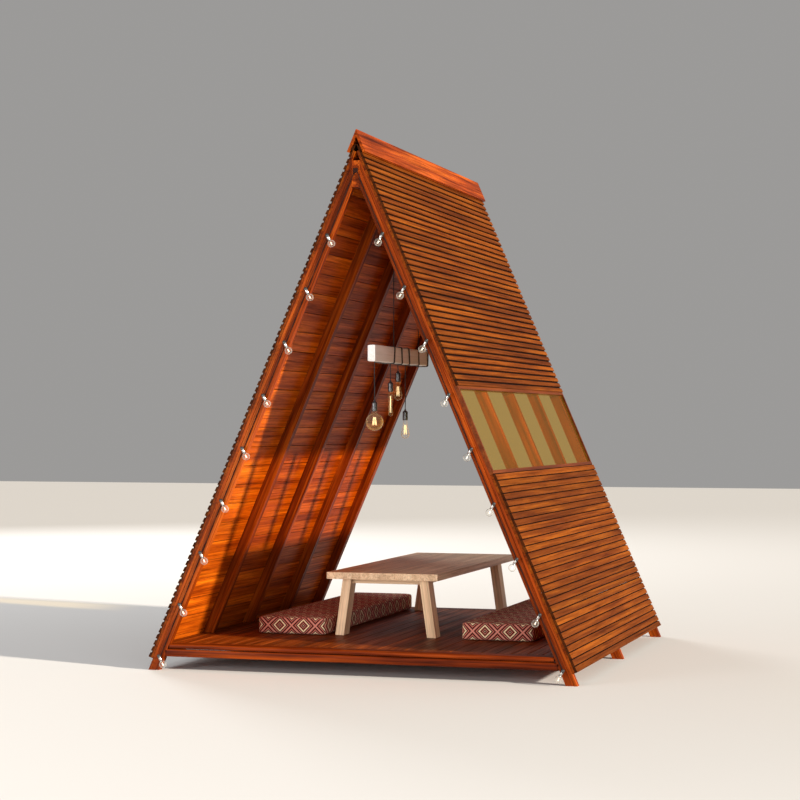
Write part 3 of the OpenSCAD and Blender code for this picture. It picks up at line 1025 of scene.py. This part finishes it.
def bulb_place(k, side):
    z = STRING_LOW + k * STRING_PITCH
    x, _ = at(s_at_height(z, BULB_N), BULB_N, side)
    turn = Matrix.Rotation(side * SOCKET_TILT, 4, "Y")
    return Matrix.Translation((x, BULB_Y, z)) @ turn


def string_lamp(place, bulbs, wires, collars, sockets):
    """One small lamp, and the clip from its socket to the cable."""
    neck = SOCKET_NEAR
    outline = [(0.0075, neck + 0.004), (0.0078, neck)] + arc(STRING_D / 2, 0.0, 158, 0, 14)
    bulbs.lathe(shell_of(outline, STRING_WALL), place, sides=20, loop=True)
    cage(wires, place, 0.004, 0.010, -0.008, 3)
    collars.lathe([(0.0070, neck), (0.0082, neck + 0.0005), (0.0082, neck + 0.003),
                   (0.0074, neck + 0.004), (0.0082, neck + 0.005), (0.0074, neck + 0.007),
                   (0.0082, neck + 0.008), (0.0080, neck + 0.025), (0.0060, neck + 0.025)],
                  place, sides=18)
    low = neck + 0.024
    sockets.lathe([(0.0060, low), (0.0084, low + 0.0004), (0.0090, low + 0.002),
                   (0.0090, SOCKET_FAR - 0.006), (0.0078, SOCKET_FAR - 0.002),
                   (0.0050, SOCKET_FAR)], place, sides=18)
    clip_at = (CABLE_N - BULB_N) / math.sin(SOCKET_TILT + LEAN)
    sockets.prism([[place @ Vector((x, y, clip_at + z)) for x, z in
                    ((-0.004, -0.005), (0.004, -0.005), (0.004, 0.005), (-0.004, 0.005))]
                   for y in (0.0, FRONT_Y - BULB_Y - CABLE_D)])


def string_lights():
    sockets = Mesh()
    collars = Mesh()
    wires = Mesh()
    cable = Mesh()
    bottom = s_at_height(STRING_LOW + CABLE_START, CABLE_N)
    top = s_at_x(CABLE_END, CABLE_N)
    for side, word in ((-1, "left"), (1, "right")):
        bulbs = Mesh()
        for k in range(STRING_COUNT):
            string_lamp(bulb_place(k, side), bulbs, wires, collars, sockets)
        bulbs.make("string_bulbs_" + word, CLEAR,
                   ["string_bulbs_" + word], smooth=60)
        for strand in (0, math.pi):
            path = []
            for k in range(CABLE_STEPS + 1):
                twist = strand + k * STRAND_TURN
                x, z = at(bottom + (top - bottom) * k / CABLE_STEPS,
                          CABLE_N + STRAND_SWING[0] * math.cos(twist), side)
                path.append((x, FRONT_Y - CABLE_D / 2 + STRAND_SWING[1] * math.sin(twist), z))
            cable.tube(path, STRAND_R, sides=6)
    z = at(top, CABLE_N)[1]
    cable.prism([[(-JUNCTION, y, z - JUNCTION), (JUNCTION, y, z - JUNCTION),
                  (JUNCTION, y, z + JUNCTION), (-JUNCTION, y, z + JUNCTION)]
                 for y in (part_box("string_cable")[0].y, FRONT_Y - JUNCTION_GAP)])
    soften(sockets.make("string_socket_bodies", SOCKET,
                        ["string_sockets"], smooth=40), 0.0005, 1)
    collars.make("string_collars", NICKEL, smooth=40)
    wires.make("string_filaments", GLINT, smooth=60)
    cable.make("string_twisted_cable", CABLE, ["string_cable"], smooth=60)


# ---------------------------------------------------------------- table
TOP_LO, TOP_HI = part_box("table_top")
PLANKS = 13
PLANK_GAP = 0.0002
PLANK_ARRIS = 0.0008
PLANK_SHORTENING = 0.0008
LEG_W = 0.052
LEG_D = 0.095
LEG_LEAN = math.radians(8)
LEG_INSET_X = 0.074
LEG_INSET_Y = 0.065
RAIL_INSET = 0.025
RAIL_T = 0.020
RAIL_H = 0.028


def table_top():
    top = Mesh()
    step = (TOP_HI.x - TOP_LO.x) / PLANKS
    for k in range(PLANKS):
        x0 = TOP_LO.x + k * step + PLANK_GAP
        x1 = TOP_LO.x + (k + 1) * step - PLANK_GAP
        trim = random.uniform(0, PLANK_SHORTENING)
        top.prism([slab_ring(x0, x1, y, TOP_LO.z, TOP_HI.z, PLANK_ARRIS)
                   for y in (TOP_LO.y + trim, TOP_HI.y - trim)])
    soften(top.make("table_planks", TABLE, ["table_top"]), 0.0006, 1)


def table_frame():
    """Four splayed legs and the rails between them."""
    under = Mesh()
    cx, cy = (TOP_LO.x + TOP_HI.x) / 2, (TOP_LO.y + TOP_HI.y) / 2
    width, length = TOP_HI.x - TOP_LO.x, TOP_HI.y - TOP_LO.y
    deck_z, high = DECK_HI.z, TOP_LO.z
    for sx in (-1, 1):
        for sy in (-1, 1):
            px = cx + sx * (width / 2 - LEG_INSET_X - LEG_W / 2)
            py = cy + sy * (length / 2 - LEG_INSET_Y - LEG_D / 2)
            rings = []
            for z in (deck_z, high):
                out = sx * (high - z) * math.tan(LEG_LEAN)
                rings.append([(px + out + a * LEG_W / 2, py + b * LEG_D / 2, z)
                              for a, b in ((-1, -1), (1, -1), (1, 1), (-1, 1))])
            under.prism(rings, axis=(sx * math.sin(LEG_LEAN), 0, -math.cos(LEG_LEAN)))
    x_out = width / 2 - LEG_INSET_X - RAIL_INSET
    y_out = length / 2 - LEG_INSET_Y - RAIL_INSET
    z0, z1 = high - RAIL_H, high - PLANK_GAP
    for sx in (-1, 1):
        a, b = sorted((cx + sx * x_out, cx + sx * (x_out - RAIL_T)))
        under.prism([[(a, y, z0), (b, y, z0), (b, y, z1), (a, y, z1)]
                     for y in (cy - y_out, cy + y_out)])
    for sy in (-1, 1):
        a, b = sorted((cy + sy * y_out, cy + sy * (y_out - RAIL_T)))
        under.prism([[(x, a, z0), (x, b, z0), (x, b, z1), (x, a, z1)]
                     for x in (cx - x_out + RAIL_T, cx + x_out - RAIL_T)], axis=(1, 0, 0))
    soften(under.make("table_legs_and_rails", TABLE, ["table_frame"]), 0.002)


# ---------------------------------------------------------------- floor pads
PAD_ROUND = 0.016
PAD_CROWN = 0.006
PAD_BULGE = 0.004
PAD_RIPPLE = 0.0012
PAD_GRID = (16, 68, 8)


def pad(name, node):
    """Firm floor cushion: crowned top, sides that swell between the corners, rounded edges."""
    lo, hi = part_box(node)
    centre = (lo + hi) / 2
    half = (hi - lo) / 2
    work = bmesh.new()
    grid = {}

    def vert(*key):
        if key not in grid:
            p = Vector([half[a] * (2 * c / PAD_GRID[a] - 1) for a, c in enumerate(key)])
            grid[key] = work.verts.new(p)
        return grid[key]

    def sheet(a, b, c, fixed):
        for i in range(PAD_GRID[a]):
            for j in range(PAD_GRID[b]):
                corner = []
                for di, dj in ((0, 0), (1, 0), (1, 1), (0, 1)):
                    key = [0, 0, 0]
                    key[a], key[b], key[c] = i + di, j + dj, fixed
                    corner.append(vert(*key))
                work.faces.new(corner)

    for a, b, c in ((0, 1, 2), (0, 2, 1), (1, 2, 0)):
        for fixed in (0, PAD_GRID[c]):
            sheet(a, b, c, fixed)
    bmesh.ops.recalc_face_normals(work, faces=work.faces)
    work.normal_update()
    layer = work.loops.layers.float_vector.new("weave")
    for face in work.faces:
        n = face.normal
        for loop in face.loops:
            p = loop.vert.co
            if abs(n.z) > 0.7:
                loop[layer] = (p.x, p.y, 0)
            elif abs(n.y) > 0.7:
                loop[layer] = (p.x, p.z + KILIM_PITCH / 2, 0)
            else:
                loop[layer] = (p.y, p.z + KILIM_PITCH / 2, 0)
    for v in work.verts:
        p = v.co.copy()
        u = [p[a] / half[a] for a in range(3)]
        core = Vector([max(-half[a] + PAD_ROUND, min(half[a] - PAD_ROUND, p[a]))
                       for a in range(3)])
        out = p - core
        if out.length > 0:
            p = core + out.normalized() * min(out.length, PAD_ROUND)
        fall_x, fall_y = 1 - u[0] ** 2, 1 - u[1] ** 4
        ripple = math.sin(11 * p.y + 1.3) * math.sin(23 * p.x + 0.4)
        if u[2] > 0.99:
            p.z += PAD_CROWN * fall_x * fall_y + PAD_RIPPLE * ripple * fall_x * fall_y
        side = PAD_BULGE * (1 - u[2] ** 2)
        if abs(u[0]) > 0.99:
            p.x += math.copysign(side * (1 - abs(u[1]) ** 6), u[0])
        if abs(u[1]) > 0.99:
            p.y += math.copysign(side * fall_x, u[1])
        v.co = p + centre
    mesh = bpy.data.meshes.new(name)
    work.to_mesh(mesh)
    work.free()
    mesh.materials.append(KILIM)
    mesh.polygons.foreach_set("use_smooth", [True] * len(mesh.polygons))
    piece = new_object(name, mesh)
    smoother = piece.modifiers.new("smoother", "SUBSURF")
    smoother.levels = 1
    smoother.render_levels = 1
    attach(piece, "root")
    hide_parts(node)


# ---------------------------------------------------------------- stage
def soft_panel(name, place, energy):
    """Wide soft lamp aimed at the middle of the cabin."""
    soft = bpy.data.lights.new(name, "AREA")
    soft.shape = "RECTANGLE"
    soft.size, soft.size_y = 4, 3
    soft.energy = energy
    panel = new_object(name, soft)
    panel.location = place
    panel.rotation_euler = (Vector((0, 0, 1)) - panel.location).to_track_quat("-Z", "Y").to_euler()


FLOOR_COLOUR = (0.78, 0.77, 0.76)
SKY_COLOUR = (1.0, 0.98, 0.96)
SKY_LIGHT = 0.33
SUN_COLOUR = (1.0, 0.90, 0.76)
SUN_LIGHT = 7.2
SUN_WAY = Vector((-1.0, 0.28, -0.29))


def stage():
    bpy.ops.mesh.primitive_plane_add(size=60, location=(0, 0, 0))
    floor = bpy.context.object
    floor.name = "floor"
    material, _, shader = new_material("floor_pale")
    put(shader, {"Base Color": FLOOR_COLOUR, "Roughness": 0.85})
    floor.data.materials.append(material)
    world = bpy.data.worlds.new("studio")
    bpy.context.scene.world = world
    world.use_nodes = True
    put(world.node_tree.nodes["Background"], {"Color": SKY_COLOUR, "Strength": SKY_LIGHT})
    sun = bpy.data.lights.new("sun", "SUN")
    sun.energy = SUN_LIGHT
    sun.angle = math.radians(2.5)
    sun.color = SUN_COLOUR
    new_object("sun", sun).rotation_euler = SUN_WAY.to_track_quat("-Z", "Y").to_euler()
    soft_panel("soft_left", (-5.5, -9.0, 1.5), 430)
    soft_panel("soft_right", (5.0, -9.0, 1.6), 210)
    soft_panel("soft_back", (-8.0, 9.5, 6.5), 620)
    bpy.context.scene.view_settings.view_transform = "Standard"


make_camera()
lamps()
light_bar()
windings()
frame_timber()
shell()
deck()
edge_boards()
string_lights()
table_top()
table_frame()
pad("kilim_pad_left", "floor_pad_left")
pad("kilim_pad_right", "floor_pad_right")
stage()
